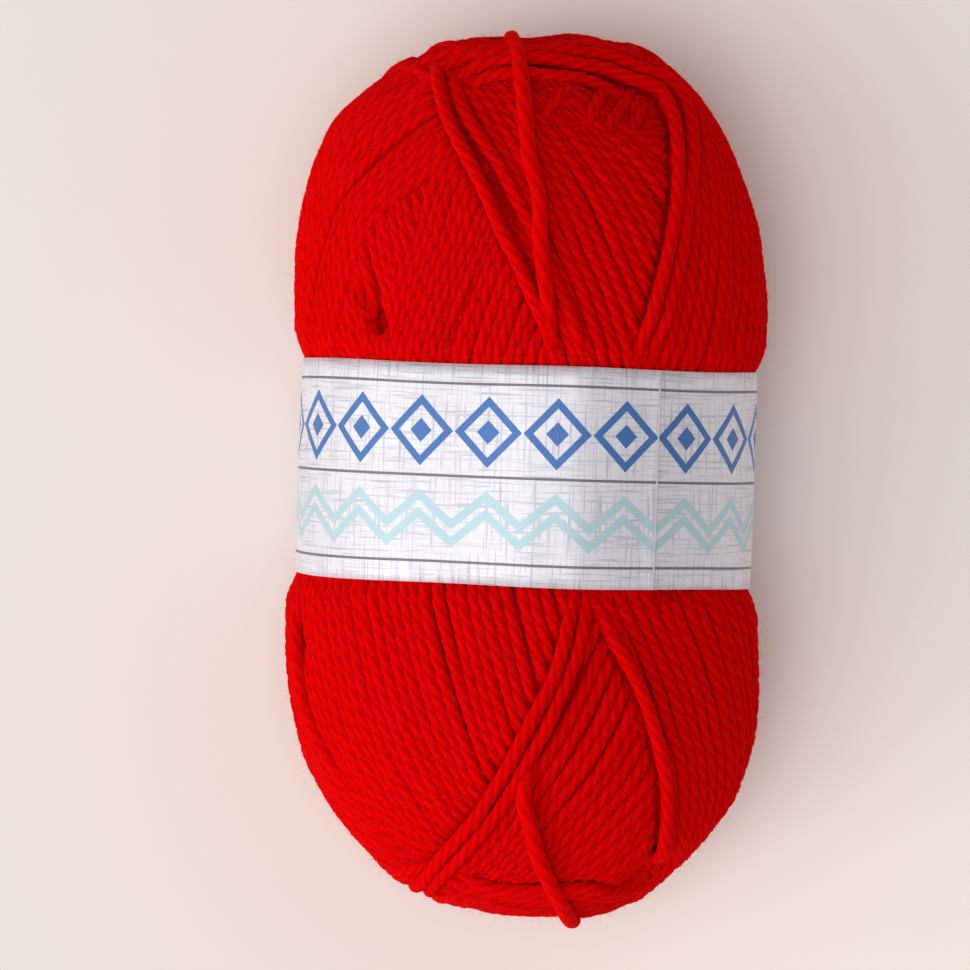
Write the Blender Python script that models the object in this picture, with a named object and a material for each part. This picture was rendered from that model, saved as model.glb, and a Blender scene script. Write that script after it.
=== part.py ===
"""A wound ball of double-knitting yarn in its paper ball band, lying on its side.

Metres, +Z up. The ball's long axis lies along Y and its width along X. The origin is on the
surface that the ball rests on, under the middle of the ball.

The yarn is wound the way a ball winder lays it. Each turn is a loop in one plane, which passes
round both ends and leans a little off the ball's axis. The planes step round the axis, every
second one from the opposite side, so two sets of turns cross each other, and the newest turn of
each set shows as a border over the older ones.
"""

import math

import bmesh
import bpy
import numpy as np
from mathutils import Matrix

# The ball's overall form.
BALL_LENGTH = 0.1528
BALL_WIDTH = 0.0805
BALL_HEIGHT = 0.0705
FULLNESS = 3.1  # exponent of the outline: 2 is an ellipse, more is squarer
FLAT_DEPTH = 0.0004  # how far the ball's underside is pressed flat
CENTRE_HEIGHT = BALL_HEIGHT / 2 - FLAT_DEPTH

# The yarn swells on both sides of the band, which nips the waist.
SWELL = 0.0026
SWELL_AT = 0.042
SWELL_RUN = 0.020

# The two halves lean apart: how far each one's end stands off the axis, and where that starts.
HALF_SHIFT = 0.0021
HALF_SHIFT_RUN = (0.020, 0.060)

# The paper band, a strip round the waist with its ends lapped on the front.
BAND_WIDTH = 0.0363
BAND_AT = 0.0005  # its middle along Y
BAND_ACROSS = 0.0773  # outside, along X
BAND_DEEP = 0.0690  # outside, along Z
PAPER = 0.0010
BAND_GAP = 0.0005  # yarn to paper
LAP_EDGE = math.radians(35.0)  # from +Z towards +X, the edge of the upper end
LAP = math.radians(20.0)  # how much of the turn the two ends share
LAP_RAMP = math.radians(14.0)  # where the upper end comes down to the lower layer
BAND_POINTS = 144
CUT_EDGE_LEAN = 1e-4  # in radians: keeps the foot and top of the lap's cut edge apart
NIP_RUN = 0.0032  # from under the band's edge out to the full yarn

PRESSED = (0.86, 0.97)  # shares of the half height over which the turns lie flat underneath

# Soft dents, from the ball's centre: a hollow by the border at each end, and the three corners
# that the last turns leave slack.
DENTS = (
    {"x": 0.0170, "y": 0.0650, "z": 0.0190, "radius": 0.0080, "depth": 0.0055},
    {"x": 0.0215, "y": -0.0680, "z": 0.0140, "radius": 0.0060, "depth": 0.0035},
    {"x": -0.0270, "y": 0.0730, "z": 0.0000, "radius": 0.0110, "depth": 0.0050},
    {"x": -0.0250, "y": -0.0680, "z": 0.0000, "radius": 0.0150, "depth": 0.0030},
    {"x": 0.0300, "y": -0.0660, "z": 0.0000, "radius": 0.0130, "depth": 0.0030},
)

# The winding. Angles are from +Z towards +X, where a turn crosses the ball's middle. A group
# of turns is three turns of yarn side by side. The early layer shows only at the ends.
WINDING_CENTRE = (-0.0047, 0.0, 0.0)  # from the ball's centre, where the turns' planes meet
WINDING_TILT = math.radians(5.5)  # the winding's axis, off +Y towards +Z
NEWEST_RISING = math.radians(30.7)  # the last turn that climbs to the right
NEWEST_FALLING = math.radians(24.3)  # the last turn that falls to the right
LAYERS = (
    {"lean": math.radians(5.0), "groups": 15, "step": math.pi / 14},
    {"lean": math.radians(16.0), "groups": 20, "step": math.pi / 17},
)
GROUP_WIDTH = 0.0076
GROUP_RELIEF = 0.0019  # height of a group of turns over the grooves beside it
GROUP_ROUNDNESS = 2.4
BORDER_RISE = 0.0012  # the newest turns lie on top of the older ones
BORDER_FADE = 2.5  # groups over which that rise dies away
SETTLE_ROUNDS = 5  # softens the steps where one group lies over another

# Single loose turns laid last over the front: each runs between two places, as x and y.
LOOSE_HALF_WIDTH = 0.0020
LOOSE_HEIGHT = 0.0024
LOOSE_TURNS = (
    {"from_x": 0.0050, "from_y": 0.0185, "to_x": -0.0045, "to_y": 0.0760},
    {"from_x": 0.0012, "from_y": -0.0480, "to_x": 0.0100, "to_y": -0.0760},
)
LOOSE_BLEND = 0.05  # share of its length over which a loose turn sinks in where it starts
LOOSE_FRONT = (-0.010, 0.006)  # heights over which it dips in behind the ball's end
LOOSE_END_SINK = 0.65  # how much of its height it loses as it rounds the ball's end
LOOSE_END = (0.066, 0.075)

# The mesh.
CUBE_CUTS = 89
YARN_TRIANGLES = 11400
CUTTER_SIDE = 0.30

YARN_RED = (0.690, 0.0030, 0.0060, 1.0)
PAPER_WHITE = (0.720, 0.705, 0.760, 1.0)


def clear_scene():
    """Removes every object, so that the ball is all that the file holds."""
    for thing in list(bpy.data.objects):
        bpy.data.objects.remove(thing, do_unlink=True)


def collection(name):
    """A collection in the scene."""
    made = bpy.data.collections.new(name)
    bpy.context.scene.collection.children.link(made)
    return made


def material(name, colour, roughness):
    """A Principled material of one colour."""
    made = bpy.data.materials.new(name)
    made.use_nodes = True
    shader = made.node_tree.nodes["Principled BSDF"]
    shader.inputs["Base Color"].default_value = colour
    shader.inputs["Roughness"].default_value = roughness
    shader.inputs["Metallic"].default_value = 0.0
    made.diffuse_color = colour
    return made


def smooth(low, high, value):
    """0 below low and 1 above high, with a smooth run between."""
    share = np.clip((value - low) / (high - low), 0.0, 1.0)
    return share * share * (3.0 - 2.0 * share)


def dent_depth(points):
    """How far the dents pull the yarn in, at points about the ball's centre."""
    depth = np.zeros(len(points))
    for dent in DENTS:
        away = np.linalg.norm(points - (dent["x"], dent["y"], dent["z"]), axis=1)
        depth += dent["depth"] * np.exp(-((away / dent["radius"]) ** 2))
    return depth


def form(directions):
    """Points of the ball's smooth outer form, about its centre, along the given directions."""
    across = np.hypot(directions[:, 0] / (BALL_WIDTH / 2), directions[:, 2] / (BALL_HEIGHT / 2))
    along = np.abs(directions[:, 1]) / (BALL_LENGTH / 2)
    reach = (across**FULLNESS + along**FULLNESS) ** (-1.0 / FULLNESS)
    points = directions * reach[:, None]
    beyond = (np.abs(points[:, 1]) - SWELL_AT) / SWELL_RUN
    swell = SWELL * np.exp(-(beyond**2)) - dent_depth(points)
    points += directions * swell[:, None]
    leaning = smooth(*HALF_SHIFT_RUN, np.abs(points[:, 1]))
    points[:, 0] -= HALF_SHIFT * leaning * np.sign(points[:, 1])
    return points


def group_planes():
    """Normals of the planes of all groups of turns, from the first one laid to the last."""
    normals = []
    for layer in LAYERS:
        for group in reversed(range(layer["groups"])):
            for newest in (NEWEST_FALLING + math.pi, NEWEST_RISING):
                angle = newest + group * layer["step"]
                lean = layer["lean"]
                normals.append(
                    (
                        -math.cos(lean) * math.cos(angle),
                        math.sin(lean),
                        math.cos(lean) * math.sin(angle),
                    )
                )
    tilt = np.array(Matrix.Rotation(WINDING_TILT, 3, "X"))
    return np.array(normals) @ tilt.T


def winding_rise(points):
    """Height of the wound surface over the smooth form at each point, 0 on the newest crest."""
    rise = np.full(len(points), -GROUP_RELIEF - BORDER_RISE)
    planes = group_planes()
    for order, normal in enumerate(planes):
        aside = np.abs((points - np.array(WINDING_CENTRE)) @ normal) / (GROUP_WIDTH / 2)
        age = (len(planes) - 1 - order) / 2.0
        crest = BORDER_RISE * (math.exp(-age / BORDER_FADE) - 1.0)
        rise = np.where(aside < 1.0, crest - GROUP_RELIEF * aside**GROUP_ROUNDNESS, rise)
    return rise


def loose_rise(points):
    """Height that the loose turns add over each point."""
    rise = np.zeros(len(points))
    shown = smooth(*LOOSE_FRONT, points[:, 2])
    shown *= 1.0 - LOOSE_END_SINK * smooth(*LOOSE_END, np.abs(points[:, 1]))
    for turn in LOOSE_TURNS:
        run = (points[:, 1] - turn["from_y"]) / (turn["to_y"] - turn["from_y"])
        line = turn["from_x"] + run * (turn["to_x"] - turn["from_x"])
        aside = np.clip(np.abs(points[:, 0] - line) / LOOSE_HALF_WIDTH, 0.0, 1.0)
        along = smooth(-LOOSE_BLEND, LOOSE_BLEND, run)
        rise = np.maximum(rise, LOOSE_HEIGHT * np.sqrt(1.0 - aside**2) * along * shown)
    return rise


def band_radius(angle, across, deep):
    """Distance from the ball's axis to an ellipse round it, at an angle from +Z towards +X."""
    return 1.0 / np.hypot(np.sin(angle) / (across / 2), np.cos(angle) / (deep / 2))


def wound_points(directions):
    """Points of the ball with its main turns raised and its waist nipped by the band."""
    base = form(directions)
    pressed = smooth(*PRESSED, -base[:, 2] / (BALL_HEIGHT / 2))
    rise = winding_rise(base) * (1.0 - pressed) + loose_rise(base)
    points = base + directions * rise[:, None]

    angle = np.arctan2(points[:, 0], points[:, 2])
    inside = 2.0 * (PAPER + BAND_GAP)
    under = band_radius(angle, BAND_ACROSS - inside, BAND_DEEP - inside)
    off_axis = np.maximum(np.hypot(points[:, 0], points[:, 2]), 1e-6)
    from_band = np.abs(points[:, 1] - BAND_AT) - BAND_WIDTH / 2
    nip = 1.0 - smooth(BAND_GAP, NIP_RUN, from_band)
    kept = 1.0 + (np.minimum(off_axis, under) / off_axis - 1.0) * nip
    points[:, 0] *= kept
    points[:, 2] *= kept
    return points


def cube_ball_mesh(name):
    """A ball of even quads, made from a finely cut cube, with its corners pulled onto the form."""
    made = bmesh.new()
    bmesh.ops.create_cube(made, size=2.0)
    bmesh.ops.subdivide_edges(made, edges=made.edges[:], cuts=CUBE_CUTS, use_grid_fill=True)
    corners = np.array([vert.co for vert in made.verts])
    directions = np.tan(corners * math.pi / 4)  # evens out the spacing over each side
    directions /= np.linalg.norm(directions, axis=1)[:, None]
    for vert, point in zip(made.verts, wound_points(directions)):
        vert.co = point
    bmesh.ops.triangulate(made, faces=made.faces[:])
    mesh = bpy.data.meshes.new(name)
    made.to_mesh(mesh)
    made.free()
    return mesh


def flat_cutter(cutters):
    """A block whose top is the surface that the ball is pressed against."""
    bpy.ops.mesh.primitive_cube_add(size=CUTTER_SIDE, location=(0.0, 0.0, -CUTTER_SIDE / 2))
    block = bpy.context.object
    block.name = "resting_surface_cutter"
    block.hide_render = True
    block.display_type = "WIRE"
    for holder in list(block.users_collection):
        holder.objects.unlink(block)
    cutters.objects.link(block)
    return block


def wound_yarn(ball, cutters):
    """The wound yarn, one solid with its main turns, hollow ends and small flat underside."""
    mesh = cube_ball_mesh("wound_yarn")
    yarn = bpy.data.objects.new("wound_yarn", mesh)
    yarn.location.z = CENTRE_HEIGHT
    yarn.data.materials.append(material("red_acrylic_yarn", YARN_RED, 0.85))
    ball.objects.link(yarn)
    settle = yarn.modifiers.new("settled_turns", "SMOOTH")
    settle.factor = 0.5
    settle.iterations = SETTLE_ROUNDS
    thin = yarn.modifiers.new("fewer_faces", "DECIMATE")
    thin.ratio = YARN_TRIANGLES / len(mesh.polygons)
    press = yarn.modifiers.new("flat_underside", "BOOLEAN")
    press.operation = "DIFFERENCE"
    press.object = flat_cutter(cutters)
    mesh.shade_smooth()
    return yarn


def add_outline(curve, points):
    """Adds one closed outline of straight runs to a 2D curve."""
    spline = curve.splines.new("POLY")
    spline.points.add(len(points) - 1)
    for corner, (x, y) in zip(spline.points, points):
        corner.co = (x, y, 0.0, 1.0)
    spline.use_cyclic_u = True


def band_outline(with_lap):
    """The band's outer outline with its lap, or its inner one, as x and z about its own axis."""
    inset = 0.0 if with_lap else 2.0 * PAPER
    angles = [LAP_EDGE - 2.0 * math.pi * step / BAND_POINTS for step in range(BAND_POINTS)]
    if with_lap:
        angles.append(LAP_EDGE + CUT_EDGE_LEAN)
    points = []
    for angle in angles:
        radius = float(band_radius(angle, BAND_ACROSS - inset, BAND_DEEP - inset))
        if with_lap:
            past_edge = LAP_EDGE - angle
            radius += PAPER * float(1.0 - smooth(LAP, LAP + LAP_RAMP, past_edge)) * (past_edge >= 0)
        points.append((radius * math.sin(angle), radius * math.cos(angle)))
    return points


def ball_band(ball):
    """The paper band, a closed ring whose upper end stands one thickness proud at the lap."""
    curve = bpy.data.curves.new("ball_band", "CURVE")
    curve.dimensions = "2D"
    curve.fill_mode = "BOTH"
    curve.extrude = BAND_WIDTH / 2
    add_outline(curve, band_outline(True))
    add_outline(curve, band_outline(False))
    band = bpy.data.objects.new("ball_band", curve)
    band.location = (0.0, BAND_AT, CENTRE_HEIGHT)
    band.rotation_euler.x = math.pi / 2
    curve.materials.append(material("silver_white_paper", PAPER_WHITE, 0.35))
    ball.objects.link(band)
    return band


def main():
    """Builds the ball of yarn."""
    clear_scene()
    ball = collection("ball_of_yarn")
    cutters = collection("cutters")
    wound_yarn(ball, cutters)
    ball_band(ball)


main()
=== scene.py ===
"""Looks of a wound ball of double-knitting yarn in its paper ball band, lying on its side.

Metres, +Z up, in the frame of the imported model. The yarn is laid turn by turn the way a ball
winder lays it. Each turn is a loop in one plane, which passes round both ends of the ball and
leans a little off its long axis. The planes step round the axis, so turns that climb to the right
and turns that fall to the right cross each other, and the newer turn lies on top.
"""

import logging
import math
from dataclasses import dataclass, field
from enum import Enum

import bmesh
import bpy
import numpy as np
from mathutils import Matrix, Vector


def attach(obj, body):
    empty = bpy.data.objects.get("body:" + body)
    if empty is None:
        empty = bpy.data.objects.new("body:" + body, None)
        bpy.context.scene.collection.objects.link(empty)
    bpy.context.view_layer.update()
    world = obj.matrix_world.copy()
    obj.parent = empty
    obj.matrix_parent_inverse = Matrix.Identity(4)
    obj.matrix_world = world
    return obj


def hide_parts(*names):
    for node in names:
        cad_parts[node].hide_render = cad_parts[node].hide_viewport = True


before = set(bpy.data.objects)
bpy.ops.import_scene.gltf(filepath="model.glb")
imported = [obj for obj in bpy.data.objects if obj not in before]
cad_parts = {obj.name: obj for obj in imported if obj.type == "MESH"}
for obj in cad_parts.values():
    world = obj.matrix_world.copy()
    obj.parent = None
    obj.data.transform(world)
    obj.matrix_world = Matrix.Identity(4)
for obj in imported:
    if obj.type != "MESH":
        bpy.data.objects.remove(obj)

log = logging.getLogger("ball_of_yarn")

MM = 0.001
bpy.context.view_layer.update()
FULL_TURN = 2 * math.pi


class Half(Enum):
    """Which side of the ball band a piece of the winding lies on."""

    UPPER = 1
    LOWER = -1


class Side(Enum):
    """Which side of the ball's long axis, seen from above."""

    LEFT = -1
    RIGHT = 1


class Finish(Enum):
    """The record's material slots."""

    YARN = "yarn"
    PAPER = "paper"


NODE_OF = {Finish.YARN: "wound_yarn", Finish.PAPER: "ball_band"}


# ---------------------------------------------------------------- small sums


def smooth(low: float, high: float, value: np.ndarray) -> np.ndarray:
    """Runs smoothly from 0 at low to 1 at high.

    Args:
        low: Where the run starts.
        high: Where it ends.
        value: The values to place on it.

    Returns:
        A share from 0 to 1 for each value.
    """
    share = np.clip((value - low) / (high - low), 0.0, 1.0)
    return share * share * (3.0 - 2.0 * share)


def unit(vectors: np.ndarray) -> np.ndarray:
    """The vectors at length one."""
    return vectors / np.maximum(np.linalg.norm(vectors, axis=-1, keepdims=True), 1e-12)


def wrapped(angle: np.ndarray) -> np.ndarray:
    """The same angles, between minus half a turn and half a turn."""
    return np.angle(np.exp(1j * angle))


def arc_along(line: np.ndarray) -> np.ndarray:
    """Distance along a line at each of its points."""
    return np.concatenate([[0.0], np.cumsum(np.linalg.norm(np.diff(line, axis=0), axis=1))])


def wander(rng: np.random.Generator, arc: np.ndarray, wave: float, size: float) -> np.ndarray:
    """A slow random sway along a length of yarn.

    Args:
        rng: The seeded source of chance.
        arc: Distance along the yarn, in metres.
        wave: The sway's usual wavelength, in metres.
        size: Its usual size.

    Returns:
        The sway at each point.
    """
    shares = (1.0, 0.61, 0.37)  # of the wavelength: one long swing and two shorter ones
    sway = np.zeros(len(arc))
    for share in shares:
        sway += math.sqrt(share) * np.sin(FULL_TURN * (arc / (wave * share) + rng.random()))
    return size * sway / 1.4  # the three swings together swing this far


# ---------------------------------------------------------------- meshes and objects


def put(name: str, data: bpy.types.ID) -> bpy.types.Object:
    """Puts a mesh, curve, light or camera in the scene.

    Args:
        name: The new object's name.
        data: What it shows.

    Returns:
        The object.
    """
    made = bpy.data.objects.new(name, data)
    bpy.context.scene.collection.objects.link(made)
    return made


def finished(made: bmesh.types.BMesh, name: str) -> bpy.types.Object:
    """Ends a bmesh.

    Args:
        made: The bmesh.
        name: The new object's name.

    Returns:
        A smooth object in the scene.
    """
    mesh = bpy.data.meshes.new(name)
    made.to_mesh(mesh)
    made.free()
    mesh.shade_smooth()
    return put(name, mesh)


def move(made: bmesh.types.BMesh, points: np.ndarray) -> None:
    """Moves each vertex of a bmesh to its own point."""
    for vert, point in zip(made.verts, points):
        vert.co = point


def write(mesh: bpy.types.Mesh, name: str, values: np.ndarray) -> None:
    """Gives each point of a mesh a value of its own, which a material reads.

    Args:
        mesh: The mesh.
        name: The attribute's name.
        values: One number for each point, or three.
    """
    kind, key = ("FLOAT", "value") if values.ndim == 1 else ("FLOAT_VECTOR", "vector")
    made = mesh.attributes.new(name, kind, "POINT")
    made.data.foreach_set(key, values.ravel().astype(np.float32))


def dress(
    piece: bpy.types.Object, finish: Finish, *materials: bpy.types.Material
) -> bpy.types.Object:
    """Gives a piece its materials and its place on the object.

    Args:
        piece: The new piece.
        finish: The record's slot that it takes its finish from.
        *materials: Its materials, in slot order.

    Returns:
        The same piece.
    """
    piece.data.materials.clear()
    for material in materials:
        piece.data.materials.append(material)
    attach(piece, "root")
    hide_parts(NODE_OF[finish])
    return piece


# ---------------------------------------------------------------- finishes


def linear(hex_colour: str) -> tuple[float, float, float, float]:
    """An sRGB hex colour as linear light.

    Args:
        hex_colour: Six hex digits, such as "d90102".

    Returns:
        Red, green, blue and an alpha of one.
    """
    parts = [int(hex_colour[at : at + 2], 16) / 255 for at in (0, 2, 4)]
    red, green, blue = (p / 12.92 if p <= 0.04045 else ((p + 0.055) / 1.055) ** 2.4 for p in parts)
    return (red, green, blue, 1.0)


def feed(made: bpy.types.Node, inputs: dict) -> bpy.types.Node:
    """Gives a shader node its settings and links.

    Args:
        made: The node.
        inputs: By name or number: a value, the output socket that feeds it, or the stops of a
            colour ramp, which are a place and an sRGB hex colour for each of its two ends.

    Returns:
        The same node.
    """
    for name, value in inputs.items():
        if name == "stops":
            for element, (place, colour) in zip(made.color_ramp.elements, value):
                element.position = place
                element.color = linear(colour)
        elif isinstance(value, bpy.types.NodeSocket):
            made.id_data.links.new(value, made.inputs[name])
        elif isinstance(name, str) and hasattr(made, name):
            setattr(made, name, value)
        else:
            made.inputs[name].default_value = value
    return made


def node(
    tree: bpy.types.NodeTree, kind: str, inputs: dict, output: int | str = 0
) -> bpy.types.NodeSocket:
    """Adds a shader node.

    Args:
        tree: The material's node tree.
        kind: The node's type after "ShaderNode", such as "Math".
        inputs: Its settings and links, as feed() takes them.
        output: The name or number of the output that is used.

    Returns:
        That output's socket.
    """
    return feed(tree.nodes.new("ShaderNode" + kind), inputs).outputs[output]


class Shaded:
    """What every finish shares: its shade method says what the Principled shader is given."""

    def shade(self, tree: bpy.types.NodeTree) -> dict:
        """Lays out the finish's pattern.

        Args:
            tree: The material's node tree.

        Returns:
            What the shader is given, as feed() takes it.
        """
        raise NotImplementedError

    def make(self, name: str) -> bpy.types.Material:
        """Makes the material.

        Args:
            name: The material's name.

        Returns:
            The finished material.
        """
        made = bpy.data.materials.new(name)
        made.use_nodes = True
        feed(made.node_tree.nodes["Principled BSDF"], self.shade(made.node_tree))
        return made


@dataclass(frozen=True)
class AcrylicYarn(Shaded):
    """Four-ply acrylic yarn, dyed in the mass: a soft deep red with no white gloss.

    The fibres scatter the light, so the strand is matt with a faint bloom at grazing angles. The
    grooves between the plies, darkened with painted shade, and the fine fibre streaks along them
    are what the eye reads.
    """

    lit: str = "e30103"
    streak: str = "cf0103"
    # The ply grooves' colour, darker than the yarn's red: painted shade between the plies.
    groove_shade: str = "c00102"
    bloom: str = "ff1a14"
    bloom_share: float = 0.10
    roughness: float = 0.92
    gloss: float = 0.02
    glow: float = 0.55  # light carried on inside the strand, which softens its shading
    glow_mm: float = 1.1
    glow_colour: tuple[float, float, float] = (1.0, 0.1, 0.1)  # red light goes furthest
    fibre_mm: float = 0.45  # real fibres are 0.02 mm: drawn as bundles, or none would show
    streak_mm: float = 4.0
    streak_depth: float = 0.30
    streak_height: float = 0.00025

    def shade(self, tree: bpy.types.NodeTree) -> dict:
        """Lays streaks along the strand and painted shade in its ply grooves, by its own
        attributes.

        Args:
            tree: The material's node tree.

        Returns:
            What the shader is given.
        """
        space = node(tree, "Attribute", {"attribute_name": "yarn_space"}, "Vector")
        ply = node(tree, "Attribute", {"attribute_name": "ply_groove"}, "Fac")
        scale = (1 / self.streak_mm, 1 / self.fibre_mm, 1 / self.fibre_mm)
        drawn = node(tree, "Mapping", {"Scale": scale, "Vector": space})
        streaks = {"Scale": 1.0, "Detail": 3.0, "Roughness": 0.6, "Vector": drawn}
        fibres = node(tree, "TexNoise", streaks)
        stops = ((0.30, self.streak), (0.62, self.lit))
        tone = node(tree, "ValToRGB", {"stops": stops, "Fac": fibres})
        # Darkens the yarn towards the groove colour where ply_groove is high: painted shade in the
        # grooves.
        groove_shaded = {"data_type": "RGBA", 0: ply, 6: tone, 7: linear(self.groove_shade)}
        bump = {"Strength": self.streak_depth, "Distance": self.streak_height, "Height": fibres}
        return {
            "Base Color": node(tree, "Mix", groove_shaded, 2),
            "Normal": node(tree, "Bump", bump),
            "Roughness": self.roughness,
            "Specular IOR Level": self.gloss,
            "Subsurface Weight": self.glow,
            "Subsurface Radius": self.glow_colour,
            "Subsurface Scale": self.glow_mm * MM,
            "Sheen Weight": self.bloom_share,
            "Sheen Roughness": 0.5,
            "Sheen Tint": linear(self.bloom),
        }


@dataclass(frozen=True)
class InnerTurns(Shaded):
    """The same yarn deep in the ball, where little light gets in and only dark gaps show, in
    painted shade.
    """

    # Darker than the outer yarn's red, as painted shade; the gap colour is painted shade between
    # its strands.
    colour: str = "c40102"
    gap: str = "a40101"
    lump_mm: float = 2.3  # a strand's thickness

    def shade(self, tree: bpy.types.NodeTree) -> dict:
        """Mottles painted shade in lumps as wide as a strand, on Object coordinates.

        Args:
            tree: The material's node tree.

        Returns:
            What the shader is given.
        """
        place = node(tree, "TexCoord", {}, "Object")
        scale = 1000 / self.lump_mm
        lumps = node(tree, "TexNoise", {"Scale": scale, "Detail": 2.0, "Vector": place})
        stops = ((0.35, self.gap), (0.65, self.colour))
        return {
            "Base Color": node(tree, "ValToRGB", {"stops": stops, "Fac": lumps}),
            "Roughness": 0.95,
            "Specular IOR Level": 0.0,
        }


@dataclass(frozen=True)
class CoatedPaper(Shaded):
    """Satin-coated label paper, printed: a cool silver white with a soft broad gloss.

    A fine linen ground of short grey lines runs both ways. The printed pattern is a plain
    knitting chart of diamonds and zigzags. Its places are in mm from the strip's middle line.
    """

    ground: str = "eae8f0"
    linen: str = "bab8c5"
    blue: str = "4a76b8"
    aqua: str = "b9d6de"
    grey: str = "77757f"
    # White along the cut end, standing for the bare cut edge where it catches the light: a painted
    # highlight.
    cut_edge_highlight: str = "fbfaff"
    roughness: float = 0.50
    silver: float = 0.30  # the ground is a pale silver ink, which gives the broad cool gloss
    linen_mm: float = 0.50  # from line to line
    linen_run_mm: float = 13.0
    linen_share: float = 0.85
    linen_height: float = 0.0001
    motif_mm: float = 12.082  # nineteen go once round the band, so that the print meets at the lap
    diamonds_at: float = 7.0
    zigzag_slope: float = 0.8
    line_mm: float = 0.22  # half a grey line's width
    cut_edge_highlight_mm: float = 0.30  # a painted highlight of the white cut edge, along the cut end

    def shade(self, tree: bpy.types.NodeTree) -> dict:
        """Lays the linen, prints each shape, paints the cut end's highlight, by the strip's
        attribute.

        Args:
            tree: The material's node tree.

        Returns:
            What the shader is given.
        """
        strip = node(tree, "Attribute", {"attribute_name": "strip_mm"}, "Vector")
        along = node(tree, "SeparateXYZ", {"Vector": strip})
        across = along.node.outputs["Y"]

        lines = []
        for one, other in ((self.linen_run_mm, self.linen_mm), (self.linen_mm, self.linen_run_mm)):
            laid = node(tree, "Mapping", {"Scale": (1 / one, 1 / other, 1.0), "Vector": strip})
            threads = {"Scale": 1.0, "Detail": 2.0, "Roughness": 0.7, "Vector": laid}
            ends = {"From Min": 0.51, "From Max": 0.67, "Value": node(tree, "TexNoise", threads)}
            lines.append(node(tree, "MapRange", ends))
        weave = node(tree, "Math", {"operation": "MAXIMUM", 0: lines[0], 1: lines[1]})
        share = node(tree, "Math", {"operation": "MULTIPLY", 0: weave, 1: self.linen_share})
        tones = {"data_type": "RGBA", 0: share, 6: linear(self.ground), 7: linear(self.linen)}
        colour = node(tree, "Mix", tones, 2)

        half = self.motif_mm / 2
        ahead = node(tree, "Math", {"operation": "ADD", 0: along, 1: half})
        fold = node(tree, "Math", {"operation": "PINGPONG", 0: ahead, 1: half})
        off_row = node(tree, "Math", {"operation": "SUBTRACT", 0: across, 1: self.diamonds_at})
        fold_across = node(tree, "Math", {"operation": "ABSOLUTE", 0: off_row})
        rise = {"operation": "MULTIPLY_ADD", 0: fold, 1: self.zigzag_slope, 2: across}
        zigzag = node(tree, "Math", rise)
        diamond = node(tree, "Math", {"operation": "ADD", 0: fold, 1: fold_across})
        # What each printed shape, and the painted highlight at the cut end, follows, its middle and
        # half its width there, and its ink.
        for value, middle, reach, ink in (
            (diamond, 5.05, 0.85, self.blue),
            (diamond, 0.0, 2.0, self.blue),
            (zigzag, -6.6, 0.9, self.aqua),
            (zigzag, -3.6, 0.9, self.aqua),
            (across, -14.6, self.line_mm, self.grey),
            (across, -0.4, self.line_mm, self.grey),
            (across, 14.9, self.line_mm, self.grey),
            (along, 0.0, self.cut_edge_highlight_mm, self.cut_edge_highlight),
        ):
            inside = {"operation": "COMPARE", 0: value, 1: middle, 2: reach}
            over = {"data_type": "RGBA", 0: node(tree, "Math", inside), 6: colour, 7: linear(ink)}
            colour = node(tree, "Mix", over, 2)
        bump = {"Strength": 0.15, "Distance": self.linen_height, "Height": weave}
        return {
            "Base Color": colour,
            "Normal": node(tree, "Bump", bump),
            "Roughness": self.roughness,
            "Specular IOR Level": 0.5,
            "Metallic": self.silver,
        }


@dataclass(frozen=True)
class CutPaper(Shaded):
    """The paper's cut edge and bare back: uncoated white fibre, matt."""

    colour: str = "fbfaff"
    fleck: str = "efedf3"
    flecks_per_mm: float = 1.2

    def shade(self, tree: bpy.types.NodeTree) -> dict:
        """Gives it the faint mottle of paper fibre, on Object coordinates.

        Args:
            tree: The material's node tree.

        Returns:
            What the shader is given.
        """
        place = node(tree, "TexCoord", {}, "Object")
        scale = 1000 * self.flecks_per_mm
        mottle = node(tree, "TexNoise", {"Scale": scale, "Detail": 3.0, "Vector": place})
        stops = ((0.3, self.fleck), (0.6, self.colour))
        tone = node(tree, "ValToRGB", {"stops": stops, "Fac": mottle})
        return {"Base Color": tone, "Roughness": 0.85}


@dataclass(frozen=True)
class StudioFloor(Shaded):
    """Seamless matt background paper in a pale warm pink, without any grain that would show."""

    colour: str = "f2eae4"
    # Lighter and a little redder to the right: painted light that fills the ball's shadow, with
    # painted red light thrown off the yarn.
    painted_light_right: str = "fff5ef"
    from_x: float = -0.03  # the painted light on the floor sets in from here and is full at to_x
    to_x: float = 0.07

    def shade(self, tree: bpy.types.NodeTree) -> dict:
        """Paints it lighter and a little warmer to the right, as painted light and painted red
        reflection.

        Args:
            tree: The material's node tree.

        Returns:
            What the shader is given.
        """
        across = node(tree, "SeparateXYZ", {"Vector": node(tree, "TexCoord", {}, "Object")})
        reach = {"From Min": self.from_x, "From Max": self.to_x, "Value": across}
        painted_light_share = node(tree, "MapRange", {"interpolation_type": "SMOOTHSTEP", **reach})
        stops = ((0.0, self.colour), (1.0, self.painted_light_right))
        tone = node(tree, "ValToRGB", {"stops": stops, "Fac": painted_light_share})
        return {"Base Color": tone, "Roughness": 0.9, "Specular IOR Level": 0.1}


# ---------------------------------------------------------------- the ball's form


@dataclass(frozen=True)
class Dent:
    """A soft hollow in the ball. Its place is about the ball's centre."""

    place: tuple[float, float, float]
    radius: float
    depth: float


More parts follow.
